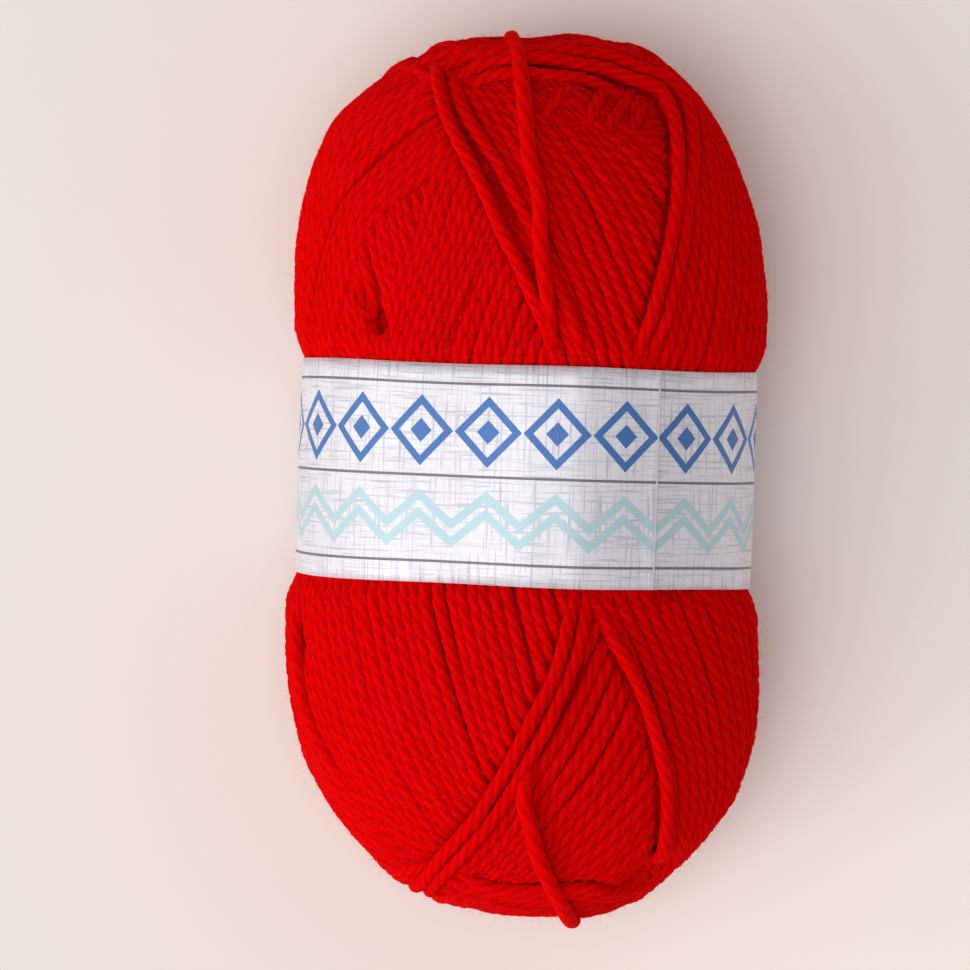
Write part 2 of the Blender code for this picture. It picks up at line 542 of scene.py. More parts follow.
@dataclass(frozen=True)
class BallForm:
    """The wound ball's smooth outer form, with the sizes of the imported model.

    Every point is about the ball's centre, which stands at centre_height over the floor.
    """

    length: float = 0.1518
    width: float = 0.0805
    height: float = 0.0705
    fullness: float = 3.1  # 2 would be an ellipse, and more is nearer to a box
    centre_height: float = 0.03485
    swell: float = 0.0026  # the two halves' own belly, beside the nipped waist
    swell_at: float = 0.042
    swell_run: float = 0.020
    half_shift: float = 0.0021  # to the side, of one half against the other
    half_shift_run: tuple[float, float] = (0.020, 0.060)
    # One hollow in each end, five softer ones that round the outline, and two in the slit on the
    # upper left.
    dents: tuple[Dent, ...] = (
        Dent((0.0170, 0.0650, 0.0190), 0.0080, 0.0040),
        Dent((0.0215, -0.0680, 0.0140), 0.0060, 0.0035),
        Dent((-0.0270, 0.0730, 0.0), 0.0110, 0.0040),
        Dent((-0.0250, -0.0680, 0.0), 0.0150, 0.0025),
        Dent((0.0300, -0.0660, 0.0), 0.0130, 0.0023),
        Dent((0.0190, -0.0730, 0.0), 0.0100, 0.0006),
        Dent((-0.0385, 0.0460, 0.0), 0.0150, 0.0010),
        Dent((-0.0270, 0.0290, 0.0265), 0.0022, 0.0026),
        Dent((-0.0254, 0.0247, 0.0275), 0.0018, 0.0020),
    )
    off_all: tuple[float, float, float] = (0.31, 0.23, 0.92)  # any way off the main directions
    probe: float = 1e-3  # how far aside its slope is felt
    meet_tries: int = 14

    def surface(self, directions: np.ndarray) -> np.ndarray:
        """Points of the form.

        Args:
            directions: Unit vectors from the ball's centre.

        Returns:
            One point for each direction.
        """
        across = np.hypot(directions[:, 0] / (self.width / 2), directions[:, 2] / (self.height / 2))
        along = np.abs(directions[:, 1]) / (self.length / 2)
        reach = (across**self.fullness + along**self.fullness) ** (-1.0 / self.fullness)
        points = directions * reach[:, None]
        beside = (np.abs(points[:, 1]) - self.swell_at) / self.swell_run
        swell = self.swell * np.exp(-(beside**2))
        for dent in self.dents:
            away = np.linalg.norm(points - dent.place, axis=1)
            swell -= dent.depth * np.exp(-((away / dent.radius) ** 2))
        points += directions * swell[:, None]
        points[:, 0] += self.shift(points[:, 1])
        return points

    def shift(self, y: np.ndarray) -> np.ndarray:
        """How far the ball's two halves stand to the side at places along Y."""
        return -self.half_shift * smooth(*self.half_shift_run, np.abs(y)) * np.sign(y)

    def towards(self, points: np.ndarray) -> np.ndarray:
        """The unit directions along which surface() gives these points, or the nearest to them."""
        level = points.copy()
        level[:, 0] -= self.shift(points[:, 1])
        return unit(level)

    def normals(self, directions: np.ndarray) -> np.ndarray:
        """Outward normals of the form along unit vectors from the ball's centre."""
        side = unit(np.cross(directions, self.off_all))
        other = np.cross(directions, side)
        here = self.surface(directions)
        first = self.surface(unit(directions + self.probe * side)) - here
        second = self.surface(unit(directions + self.probe * other)) - here
        facing = unit(np.cross(first, second))
        return facing * np.sign(np.sum(facing * directions, axis=1))[:, None]

    def meet(self, start: np.ndarray, rays: np.ndarray) -> np.ndarray:
        """Where rays from a place inside the ball reach its form.

        Args:
            start: The place that the rays leave from.
            rays: Their unit directions.

        Returns:
            Unit directions, from the ball's centre, of the points that they reach.
        """
        run = np.full(len(rays), self.height / 2)
        for _ in range(self.meet_tries):
            reached = self.surface(self.towards(start + rays * run[:, None]))
            run = np.sum((reached - start) * rays, axis=1)
        return self.towards(start + rays * run[:, None])


@dataclass(frozen=True)
class BandPlace:
    """Where the paper band goes round the waist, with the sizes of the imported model."""

    width: float = 0.0363
    at: float = 0.0005  # its middle line, along Y
    across: float = 0.0773  # the nipped waist's width
    deep: float = 0.0690  # and its height
    paper: float = 0.0003  # its thickness
    tucked: float = 0.0030  # how far the turns are built on in under its edge
    bulge: float = 0.0034  # how much further out they stand where they are free of it
    bulge_run: float = 0.0090
    bulge_start: float = 0.0003  # outside the band's edge
    bulge_bend: float = 0.8  # under 1, it swells soonest beside the edge
    papers_in: float = 1.6  # how far inside its outer face the yarn is kept, in its thicknesses

    def radius(self, angle: np.ndarray) -> np.ndarray:
        """Distance of the paper's outer face from the axis, at angles from +Z towards +X."""
        return 1.0 / np.hypot(np.sin(angle) / (self.across / 2), np.cos(angle) / (self.deep / 2))

    def from_edge(self, y: np.ndarray) -> np.ndarray:
        """Distance along Y outside the band's nearer edge, less than 0 under it."""
        return np.abs(y - self.at) - self.width / 2

    def hold_in(self, points: np.ndarray, thickness: np.ndarray) -> np.ndarray:
        """Presses yarn in under the paper.

        Args:
            points: Centre-line points about the ball's centre, changed in place.
            thickness: How far the yarn reaches round each one.

        Returns:
            The same points.
        """
        off = np.maximum(np.hypot(points[:, 0], points[:, 2]), 1e-6)
        under = self.radius(np.arctan2(points[:, 0], points[:, 2]))
        under = under - self.papers_in * self.paper - thickness
        free = (self.from_edge(points[:, 1]) - self.bulge_start) / self.bulge_run
        under = under + self.bulge * np.clip(free, 0.0, 1.0) ** self.bulge_bend
        kept = np.where(free >= 1.0, 1.0, np.minimum(off, under) / off)
        points[:, 0] *= kept
        points[:, 2] *= kept
        return points


# ---------------------------------------------------------------- the winding


@dataclass
class Run:
    """An unbroken length of yarn that shows: its centre line and what goes with each point."""

    points: np.ndarray
    radii: np.ndarray
    arc: np.ndarray  # metres along the yarn
    outward: np.ndarray
    shown: np.ndarray  # 1 where it lies on top, 0 where it is covered


@dataclass(frozen=True)
class TurnLayer:
    """One layer of turns, in which each newer turn lies over the older ones that it crosses."""

    lean: float  # of a turn's plane off the ball's long axis
    step: float  # from one turn to the next, round the axis
    depth: float  # of the outermost turns' backs below the form
    seed: int
    only_within: float = math.pi  # it is built within this angle of the winding's axis


@dataclass(frozen=True)
class Winding:
    """How the turns lie: where their planes meet, their tilt, and the newest turn of each set."""

    centre: tuple[float, float, float] = (-0.0047, 0.0, 0.0)
    tilt: float = math.radians(5.5)
    newest_rising: float = math.radians(30.7)
    newest_falling: float = math.radians(24.3) + math.pi
    # How far the turns lie off their planes over the front, as y and a shift along x: those of the
    # rising set where they rise to the right, and those of the falling set where they fall.
    rising_sway: tuple[tuple[float, float], ...] = (
        (-0.067, -0.0052), (-0.060, -0.0060), (-0.053, -0.0066), (-0.045, -0.0050),
        (-0.036, -0.0033), (-0.028, -0.0010), (-0.019, 0.0014), (0.000, 0.0000),
        (0.022, -0.0015), (0.045, -0.0020), (0.053, -0.0022), (0.062, -0.0006),
    )
    falling_sway: tuple[tuple[float, float], ...] = (
        (-0.065, -0.0008), (-0.050, 0.0000), (-0.036, -0.0013), (-0.028, -0.0026),
        (-0.019, -0.0045), (0.000, -0.0012), (0.020, 0.0021), (0.029, 0.0014),
        (0.040, 0.0000), (0.055, -0.0003), (0.066, 0.0008),
    )
    # How far each set's turns lean, as a share of the layer's lean, by degrees of turn angle
    # behind the newest one: the falling set's over the upper half, the rising set's over the lower.
    falling_leans: tuple[tuple[float, float], ...] = (
        (0.0, 1.0), (8.0, 0.88), (22.0, 0.82), (60.0, 0.86), (90.0, 1.12), (112.0, 1.15),
        (130.0, 1.05), (150.0, 1.0),
    )
    rising_leans: tuple[tuple[float, float], ...] = (
        (0.0, 1.0), (8.0, 0.95), (34.0, 1.20), (60.0, 1.25), (95.0, 1.25), (122.0, 1.20),
        (142.0, 1.05), (173.0, 1.0),
    )
    # One place on the upper front left where the turns of the falling set part, and older ones
    # show: how far behind the newest it lies, half its width and how far it squeezes the others.
    parting_at: float = math.radians(93.0)
    parting_half: float = math.radians(8.6)
    parting_reach: float = math.radians(38.0)
    parting_run: tuple[float, float, float, float] = (0.10, 0.26, 0.83, 0.95)  # to the pole
    half_blend: float = 0.35  # of the way to a pole, over which one half's lean gives way
    sway_soften: float = 0.006
    sway_front: tuple[float, float] = (-0.004, 0.018)  # heights over which the sway sets in
    near_blend: tuple[float, float] = (0.0, 0.25)  # where a turn comes round to its own side
    lean_tries: int = 5

    def turned(self) -> np.ndarray:
        """The rotation from the winding's own axes to the ball's."""
        return np.array(Matrix.Rotation(self.tilt, 3, "X"))

    def off_axis(self, points: np.ndarray) -> tuple[np.ndarray, np.ndarray]:
        """How far points about the ball's centre lie off the winding's axis: metres and angle."""
        own = (points - np.array(self.centre)) @ self.turned()
        away = np.hypot(own[:, 0], own[:, 2])
        return away, np.arctan2(away, np.abs(own[:, 1]))

    def behind(self, angle: float | np.ndarray) -> tuple[np.ndarray, np.ndarray]:
        """Tells the two sets of turns apart.

        Args:
            angle: Of one turn or of many.

        Returns:
            Whether it is of the set whose newest turn climbs to the right on the front, and how
            far round the axis it lies behind the newest turn of its set.
        """
        since = np.mod(angle - self.newest_rising, FULL_TURN)
        border = self.newest_falling - self.newest_rising
        return since < border, np.where(since < border, since, since - border)

    def leans(self, angle: np.ndarray, lean: float, end_share: np.ndarray) -> np.ndarray:
        """How far turns lean at places along them.

        Args:
            angle: Of the turns, from +Z towards +X.
            lean: Of the layer.
            end_share: How far each place is on its way to a pole, from -1 to 1.

        Returns:
            The lean at each place.
        """
        rising, behind = self.behind(angle)
        behind = np.degrees(behind)
        upper = smooth(-self.half_blend, self.half_blend, end_share)
        falls = np.interp(behind, *np.array(self.falling_leans).T)
        climbs = np.interp(behind, *np.array(self.rising_leans).T)
        share = np.where(rising, climbs * (1.0 - upper) + upper, falls * upper + 1.0 - upper)
        return lean * share

    def parting(self, end_share: np.ndarray) -> np.ndarray:
        """Half the parting's width at places on the way to the upper pole."""
        opens, wide, narrows, closes = self.parting_run
        share = smooth(opens, wide, end_share) * (1.0 - smooth(narrows, closes, end_share))
        return self.parting_half * share

    def parted(self, angle: float, end_share: np.ndarray, near: np.ndarray) -> np.ndarray:
        """Where a turn's angle goes along it, to leave the parting open.

        Args:
            angle: Of the turn.
            end_share: How far each place is on its way to a pole, from -1 to 1.
            near: 1 on the turn's own side of the ball, 0 on the far side.

        Returns:
            The angle at each place.
        """
        off = float(wrapped(angle - self.newest_falling - self.parting_at))
        if abs(off) >= self.parting_reach:
            return np.full(len(end_share), angle)
        push = self.parting(end_share) * near * (1.0 - abs(off) / self.parting_reach)
        return angle + math.copysign(1.0, off) * push

    def unparted(self, seen: np.ndarray, end_share: np.ndarray) -> np.ndarray:
        """The angles of the turns that are seen at given angles, and none inside the parting."""
        middle = self.newest_falling + self.parting_at
        off = wrapped(seen - middle)
        half = self.parting(end_share)
        own = (np.abs(off) - half) / (1.0 - half / self.parting_reach)
        back = seen - off + np.sign(off) * own
        inside = (own < 0) & (half > 0)
        back = np.where(np.abs(off) < self.parting_reach, back, seen)
        return np.where(inside, np.nan, back)

    def rays(self, angle: float, lean: float, phases: np.ndarray) -> np.ndarray:
        """Directions from the winding's centre along one turn.

        Args:
            angle: Of the turn, from +Z towards +X.
            lean: Of the layer's turns off the axis.
            phases: Once round the turn is a full circle.

        Returns:
            One unit vector for each phase.
        """
        cosine, sine = np.cos(phases), np.sin(phases)
        leans = self.leans(np.full(len(phases), angle), lean, sine)
        angles = self.parted(angle, sine, smooth(*self.near_blend, cosine))
        aside = np.sin(leans)
        end = np.stack([aside * np.cos(angles), np.cos(leans), -aside * np.sin(angles)], axis=1)
        front = np.stack([np.sin(angles), np.zeros(len(phases)), np.cos(angles)], axis=1)
        return (cosine[:, None] * front + sine[:, None] * end) @ self.turned().T

    def crossing(self, points: np.ndarray, lean: float) -> list[np.ndarray]:
        """The two turns that pass through each point.

        Args:
            points: About the ball's centre.
            lean: Of the turns' planes.

        Returns:
            The angles of the ones that rise there, none in the parting, and of those that fall.
        """
        own = (points - np.array(self.centre)) @ self.turned()
        theta = np.arctan2(own[:, 0], own[:, 2])
        slope = own[:, 1] / np.maximum(np.hypot(own[:, 0], own[:, 2]), 1e-6)
        end_share = own[:, 1] / np.linalg.norm(own, axis=1) / math.cos(lean)
        sides = []
        for start, way in ((0.0, -1.0), (math.pi, 1.0)):
            leans = np.full(len(points), lean)
            for _ in range(self.lean_tries):
                lift = np.arcsin(np.clip(np.tan(leans) * slope, -1.0, 1.0))
                leans = 0.5 * (leans + self.leans(theta + start + way * lift, lean, end_share))
            seen = theta + start + way * lift
            sides.append(self.unparted(seen, end_share) if way < 0 else seen)
        return sides

    def swayed(self, points: np.ndarray, rising_set: bool, share: float | np.ndarray) -> np.ndarray:
        """Moves points by how far a set's turns lie off their planes.

        Args:
            points: About the ball's centre.
            rising_set: Which set.
            share: 1 to move them there, -1 to move them back, or one value for each point.

        Returns:
            The moved points.
        """
        knots = np.array(self.rising_sway if rising_set else self.falling_sway)
        near = np.exp(-(((points[:, 1:2] - knots[None, :, 0]) / self.sway_soften) ** 2)) + 1e-9
        shift = (near * knots[None, :, 1]).sum(axis=1) / near.sum(axis=1)
        moved = points.copy()
        moved[:, 0] += share * shift * smooth(*self.sway_front, points[:, 2])
        return moved

    def newest_other(
        self, points: np.ndarray, lean: float, step: float, angle: float
    ) -> np.ndarray:
        """The age of the newest other turn through each point of a turn.

        Args:
            points: On the turn, about the ball's centre.
            lean: Of the layer's turns.
            step: From one turn to the next.
            angle: The turn's own.

        Returns:
            Ages in turns, endless where no other turn passes.
        """
        newest = np.full(len(points), np.inf)
        level = self.crossing(points, lean)
        for rising_set in (True, False):
            back = self.crossing(self.swayed(points, rising_set, -1.0), lean)
            rising, falling = (back[0], level[1]) if rising_set else (level[0], back[1])
            off = [np.abs(wrapped(side - angle)) for side in (rising, falling)]
            own_set = bool(self.behind(angle)[0]) == rising_set
            for side, here, there in ((rising, off[0], off[1]), (falling, off[1], off[0])):
                rises, behind = self.behind(side)
                counts = (rises == rising_set) & ~np.isnan(side)
                if own_set:
                    counts &= here > there
                newest = np.minimum(newest, np.where(counts, behind / step, np.inf))
        return newest


@dataclass
class WoundYarn:
    """The yarn that shows, laid turn by turn over the form."""

    form: BallForm
    band: BandPlace
    winding: Winding
    over: tuple[Run, ...]  # lengths of yarn laid over these, which press them down
    # The outer layer, and three older ones that show in the pits at the two ends.
    layers: tuple[TurnLayer, ...] = (
        TurnLayer(math.radians(16.0), math.radians(3.47), 0.0006, 3),
        TurnLayer(math.radians(9.5), math.radians(5.2), 0.0014, 4, math.radians(21.7)),
        TurnLayer(math.radians(4.5), math.radians(8.0), 0.0026, 6, math.radians(16.8)),
        TurnLayer(math.radians(2.0), math.radians(15.0), 0.0040, 8, math.radians(8.0)),
    )
    radius: float = 0.00122
    sample: float = 0.00115  # between the rings of a strand
    plies: int = 4
    ply_pitch: float = 0.0128  # for one full twist of a ply round the strand
    groove_depth: float = 0.12  # between two plies, as a share of the radius
    slip: float = 0.055  # how unevenly the turns are spaced, as a share of a step
    rare_slip: float = 0.11
    rare_share: float = 0.125  # of the turns, which slip that much
    slip_sets_in: float = 0.25  # of a full slip for each turn behind the newest
    # Where two turns of a set lie a little apart: degrees behind the newest, and half the gap as
    # a share of a step.
    rising_gaps: tuple[tuple[float, float], ...] = ((94.0, 0.05), (121.6, 0.06), (146.0, 0.14))
    falling_gaps: tuple[tuple[float, float], ...] = (
        (45.0, 0.16), (55.0, 0.20), (65.0, 0.24), (76.0, 0.30), (106.0, 0.16), (113.0, 0.26),
        (120.5, 0.24), (127.5, 0.30), (134.0, 0.20),
    )
    gap_reach: float = 1.6  # steps over which the turns beside a gap close up
    recent_rise: float = 0.0006  # how far the newest turn stands proud
    recent_turns: float = 1.8  # turns over which that dies away
    sink: float = 0.0021  # of a turn where newer ones cross it
    cover_turns: float = 1.6  # newer turns that cover it in full
    cover_soften: float = 0.0023  # length over which a strand bends down under a newer one
    over_reach: tuple[float, float] = (0.0007, 0.0020)  # distances of full press and of none
    over_share: float = 0.95  # of a full cover, where it is pressed in full
    set_blend: float = 0.2  # over which a set's sway sets in, as a cosine of the phase
    pressed_flat: float = 0.98  # of its thickness, where the paper holds it in
    hidden: float = 0.96  # it isn't built where it is covered this much
    tail: int = 3  # rings built on past both ends of a length that shows
    places_round: int = 721  # felt on a turn before it is cut at even distances
    # Slow sways along a turn: wavelength and size. An older turn sways more to the side.
    side_sway: tuple[float, float] = (0.075, 0.00010)
    settled_sway: float = 0.00008
    settled_turns: tuple[float, float] = (1.0, 6.0)  # ages over which that sets in
    height_sway: tuple[float, float] = (0.032, 0.00010)
    thick_sway: tuple[float, float] = (0.021, 0.03)
    unevenness: float = 0.00018  # how far one turn lies deeper than the next
    start_reach: float = 0.5  # metres of yarn within which a turn's twist starts
    finish: AcrylicYarn = AcrylicYarn()
    runs: list[Run] = field(default_factory=list)

    def towards(self, layer: TurnLayer, angle: float, phases: np.ndarray) -> np.ndarray:
        """Unit directions from the ball's centre along one turn.

        Args:
            layer: The layer it belongs to.
            angle: Of the turn's plane.
            phases: Once round the turn is a full circle.

        Returns:
            One direction for each phase.
        """
        rays = self.winding.rays(angle, layer.lean, phases)
        level = self.form.surface(self.form.meet(np.array(self.winding.centre), rays))
        rising_set = bool(self.winding.behind(angle)[0])
        side = 1.0 if rising_set else -1.0
        share = smooth(-self.set_blend, self.set_blend, side * np.cos(phases))
        return self.form.towards(self.winding.swayed(level, rising_set, share))

    def pressed(self, points: np.ndarray) -> np.ndarray:
        """How far the yarn laid over these turns presses on each point, from 0 to 1."""
        above = np.concatenate([run.points[run.shown > 0] for run in self.over])
        above = above - (0.0, 0.0, self.form.centre_height)
        gap = np.linalg.norm(points[:, None] - above[None], axis=2).min(axis=1)
        return 1.0 - smooth(*self.over_reach, gap)

    def lay_turn(
        self, layer: TurnLayer, angle: float, age: float, rng: np.random.Generator
    ) -> list[Run]:
        """Lays one whole turn and keeps the lengths of it that show.

        Args:
            layer: The layer it belongs to.
            angle: Of the turn's plane.
            age: In turns laid since.
            rng: The seeded source of chance.

        Returns:
            Its lengths that show.
        """
        phases = np.linspace(0.0, FULL_TURN, self.places_round)
        arc = arc_along(self.form.surface(self.towards(layer, angle, phases)))
        even = np.linspace(0.0, arc[-1], int(arc[-1] / self.sample), endpoint=False)
        towards = self.towards(layer, angle, np.interp(even, arc, phases))
        base = self.form.surface(towards)
        outward = self.form.normals(towards)
        ahead = unit(np.roll(base, -1, axis=0) - np.roll(base, 1, axis=0))
        aside = np.cross(outward, ahead)

        newest = self.winding.newest_other(base, layer.lean, layer.step, angle)
        covered = self.soften(smooth(0.0, self.cover_turns, age - newest))
        covered = np.maximum(covered, self.over_share * self.pressed(base))

        start = rng.random() * self.start_reach
        wave, size = self.side_sway
        size += self.settled_sway * smooth(*self.settled_turns, np.full(1, age))[0]
        sway = wander(rng, even, wave, size)
        height = -layer.depth - self.radius - self.sink * covered
        height += self.recent_rise * math.exp(-age / self.recent_turns) * (1.0 - covered)
        height += wander(rng, even, *self.height_sway) - self.unevenness * abs(rng.normal())
        points = base + outward * height[:, None] + aside * sway[:, None]
        thick = self.radius * (1.0 + wander(rng, even, *self.thick_sway))
        points = self.band.hold_in(points, thick * self.pressed_flat)
        points[:, 2] = np.maximum(points[:, 2], thick - self.form.centre_height)
        points[:, 2] += self.form.centre_height

        keep = self.grow(covered < self.hidden, self.tail)
        keep &= self.band.from_edge(base[:, 1]) > -self.band.tucked
        keep &= self.winding.off_axis(base)[1] < layer.only_within
        return [
            Run(points[at], thick[at], even[at] + start, outward[at], 1.0 - covered[at])
            for at in self.stretches(keep)
        ]

    def soften(self, covered: np.ndarray) -> np.ndarray:
        """Softens the ends of a cover along a turn, because a strand bends slowly.

        Args:
            covered: 0 to 1 along a closed turn.

        Returns:
            The softened cover.
        """
        reach = max(2, round(self.cover_soften / self.sample))
        weights = np.hanning(2 * reach + 3)[1:-1]
        weights /= weights.sum()
        padded = np.concatenate([covered[-reach:], covered, covered[:reach]])
        return np.convolve(padded, weights, mode="valid")

    @staticmethod
    def grow(keep: np.ndarray, by: int) -> np.ndarray:
        """Lengthens each kept stretch of a closed turn by a number of samples at both ends."""
        grown = keep.copy()
        for shift in range(-by, by + 1):
            grown |= np.roll(keep, shift)
        return grown

    @staticmethod
    def stretches(keep: np.ndarray) -> list[np.ndarray]:
        """The kept stretches of a closed turn.

        Args:
            keep: Which samples are kept.

        Returns:
            The sample numbers of each stretch of four or more, in order.
        """
        if keep.all() or not keep.any():
            return []
        first = int(np.argmin(keep))
        order = (np.arange(len(keep)) + first) % len(keep)
        flags = keep[order].astype(int)
        edges = np.flatnonzero(np.diff(np.concatenate([[0], flags, [0]])))
        return [order[a:b] for a, b in zip(edges[::2], edges[1::2]) if b - a >= 4]

    def lay(self) -> None:
        """Lays every turn of every layer."""
        border = self.winding.newest_falling - self.winding.newest_rising
        for layer in self.layers:
            rng = np.random.default_rng(layer.seed)
            for newest, span, gaps in (
                (self.winding.newest_rising, border, self.rising_gaps),
                (self.winding.newest_falling, FULL_TURN - border, self.falling_gaps),
            ):
                for turn in range(int(span / layer.step)):
                    share = self.rare_slip if rng.random() < self.rare_share else self.slip
                    slip = share * float(rng.normal()) * min(1.0, self.slip_sets_in * turn)
                    for place, half in gaps:
                        off = turn - math.radians(place) / layer.step
                        slip += math.copysign(half, off) * math.exp(-((off / self.gap_reach) ** 2))
                    angle = newest + (turn + slip) * layer.step
                    self.runs += self.lay_turn(layer, max(angle, newest), turn, rng)

    def profile(self) -> np.ndarray:
        """Radii round a strand's section, as shares of its radius: a groove between each ply."""
        crest = [1.0 - self.groove_depth, 1.0, 1.0]
        return np.array(crest * self.plies)

    def build(self, half: Half, side: Side) -> bpy.types.Object:
        """Makes the turns of one half's left or right side a piece.

        Args:
            half: Which side of the band.
            side: Which side of the ball's long axis.

        Returns:
            The piece, finished.
        """
        name = f"wound_turns_{half.name.lower()}_{side.name.lower()}"
        mine = [
            run
            for run in self.runs
            if run.points[:, 1].mean() * half.value > 0 and run.points[:, 0].mean() * side.value > 0
        ]
        piece = sweep(name, mine, self.profile(), self.ply_pitch)
        return dress(piece, Finish.YARN, self.finish.make(name + "_acrylic"))


def ply_turn(run: Run, pitch: float) -> np.ndarray:
    """How far the plies have turned round the strand at each point, in radians: an S twist."""
    return -FULL_TURN * (np.mod(run.arc[0], pitch) + run.arc - run.arc[0]) / pitch


def sweep(name: str, runs: list[Run], section: np.ndarray, pitch: float) -> bpy.types.Object:
    """Sweeps a section along many lengths of yarn, with the yarn's twist, as one closed mesh.

    Args:
        name: The new object's name.
        runs: The lengths of yarn.
        section: Radii round the section, as shares of the yarn's radius.
        pitch: Length of one full twist, in metres.

    Returns:
        The new object, with the yarn's own coordinates as attributes.
    """
    sides = len(section)
    turns = -FULL_TURN * np.arange(sides) / sides
    outline = bpy.data.curves.new(name + "_section", "CURVE")
    outline.dimensions = "2D"
    ring = outline.splines.new("POLY")
    ring.points.add(sides - 1)
    for corner, turn, share in zip(ring.points, turns, section):
        corner.co = (share * math.cos(turn), share * math.sin(turn), 0.0, 1.0)
    ring.use_cyclic_u = True
    die = put(name + "_section", outline)

    path = bpy.data.curves.new(name + "_path", "CURVE")
    path.dimensions = "3D"
    path.bevel_mode = "OBJECT"
    path.bevel_object = die
    path.twist_mode = "MINIMUM"
    for run in runs:
        spline = path.splines.new("POLY")
        count = len(run.points)
        spline.points.add(count - 1)
        places = np.hstack([run.points, np.ones((count, 1))])
        each = {"co": places, "radius": run.radii, "tilt": ply_turn(run, pitch)}
        for key, values in each.items():
            spline.points.foreach_set(key, values.ravel().astype(np.float32))
    swept = put(name + "_path", path)
    bpy.context.view_layer.update()
    graph = bpy.context.evaluated_depsgraph_get()
    mesh = bpy.data.meshes.new_from_object(swept.evaluated_get(graph))
    mesh.name = name
    for thing in (swept, die):
        bpy.data.objects.remove(thing, do_unlink=True)

    rings = sum(len(run.points) for run in runs)
    if len(mesh.vertices) != rings * sides:
        raise ValueError(f"{name}: {len(mesh.vertices)} points, not {rings * sides}")
    arc = np.repeat(np.concatenate([run.arc for run in runs]) / MM, sides)
    radii = np.concatenate([run.radii for run in runs])[:, None] / MM
    twist = np.concatenate([ply_turn(run, pitch) for run in runs])
    round_strand = twist[:, None] + turns[None, :]
    over, aside = radii * np.cos(round_strand), radii * np.sin(round_strand)
    write(mesh, "yarn_space", np.stack([arc, over.ravel(), aside.ravel()], axis=1))
    # How deep each point lies between two plies, which the yarn's material darkens as painted
    # shade.
    depth = (section.max() - section) / max(float(np.ptp(section)), 1e-6)
    write(mesh, "ply_groove", np.tile(depth, rings))
    close_ends(mesh, sides)
    mesh.shade_smooth()
    return put(name, mesh)


def close_ends(mesh: bpy.types.Mesh, sides: int) -> None:
    """Closes the open ends of swept lengths and turns every face outwards.

    Args:
        mesh: The swept mesh.
        sides: How many sides an end has.
    """
    made = bmesh.new()
    made.from_mesh(mesh)
    open_edges = [edge for edge in made.edges if edge.is_boundary]
    bmesh.ops.holes_fill(made, edges=open_edges, sides=sides)
    bmesh.ops.recalc_face_normals(made, faces=made.faces[:])
    made.to_mesh(mesh)
    made.free()


@dataclass(frozen=True)
class LaidLine:
    """A length of yarn laid over the form through given places."""

    seed: int
    places: tuple[tuple[float, float, float, float], ...]  # x, y, z and height over it, in mm
    radius: float = 0.00122
    sway: float = 0.00012
    sway_wave: float = 0.04
    thick_sway: tuple[float, float] = (0.02, 0.025)  # wavelength and share of the radius
    fine_steps: int = 1200  # of the curve before it is cut at even distances
    covered_below: float = -0.0032  # a place this deep lies under the other turns

    def run(self, form: BallForm, band: BandPlace, sample: float) -> Run:
        """Lays it.

        Args:
            form: The ball's form.
            band: The paper that holds it in.
            sample: Distance between its points.

        Returns:
            Its centre line and what goes with it.
        """
        knots = np.array(self.places) * MM
        knots = np.concatenate([2 * knots[:1] - knots[1:2], knots, 2 * knots[-1:] - knots[-2:-1]])
        at = np.linspace(1.0, len(knots) - 2.0, self.fine_steps)
        low = np.minimum(at.astype(int), len(knots) - 3)
        t = (at - low)[:, None]
        before, here, ahead, beyond = (knots[low + k] for k in (-1, 0, 1, 2))
        curve = 0.5 * (
            2 * here
            + (ahead - before) * t
            + (2 * before - 5 * here + 4 * ahead - beyond) * t**2
            + (3 * here - before - 3 * ahead + beyond) * t**3
        )
        arc = arc_along(form.surface(form.towards(curve[:, :3])))
        even = np.linspace(0.0, arc[-1], int(arc[-1] / sample))
        curve = np.stack([np.interp(even, arc, curve[:, k]) for k in range(4)], axis=1)
        towards = form.towards(curve[:, :3])
        base, outward = form.surface(towards), form.normals(towards)
        aside = np.cross(outward, unit(np.gradient(base, axis=0)))
        rng = np.random.default_rng(self.seed)
        points = base + outward * curve[:, 3:4]
        points += aside * wander(rng, even, self.sway_wave, self.sway)[:, None]
        radii = self.radius * (1.0 + wander(rng, even, *self.thick_sway))
        points = band.hold_in(points, radii)
        points[:, 2] += form.centre_height
        shown = (curve[:, 3] > self.covered_below).astype(float)
        return Run(points, radii, even, outward, shown)


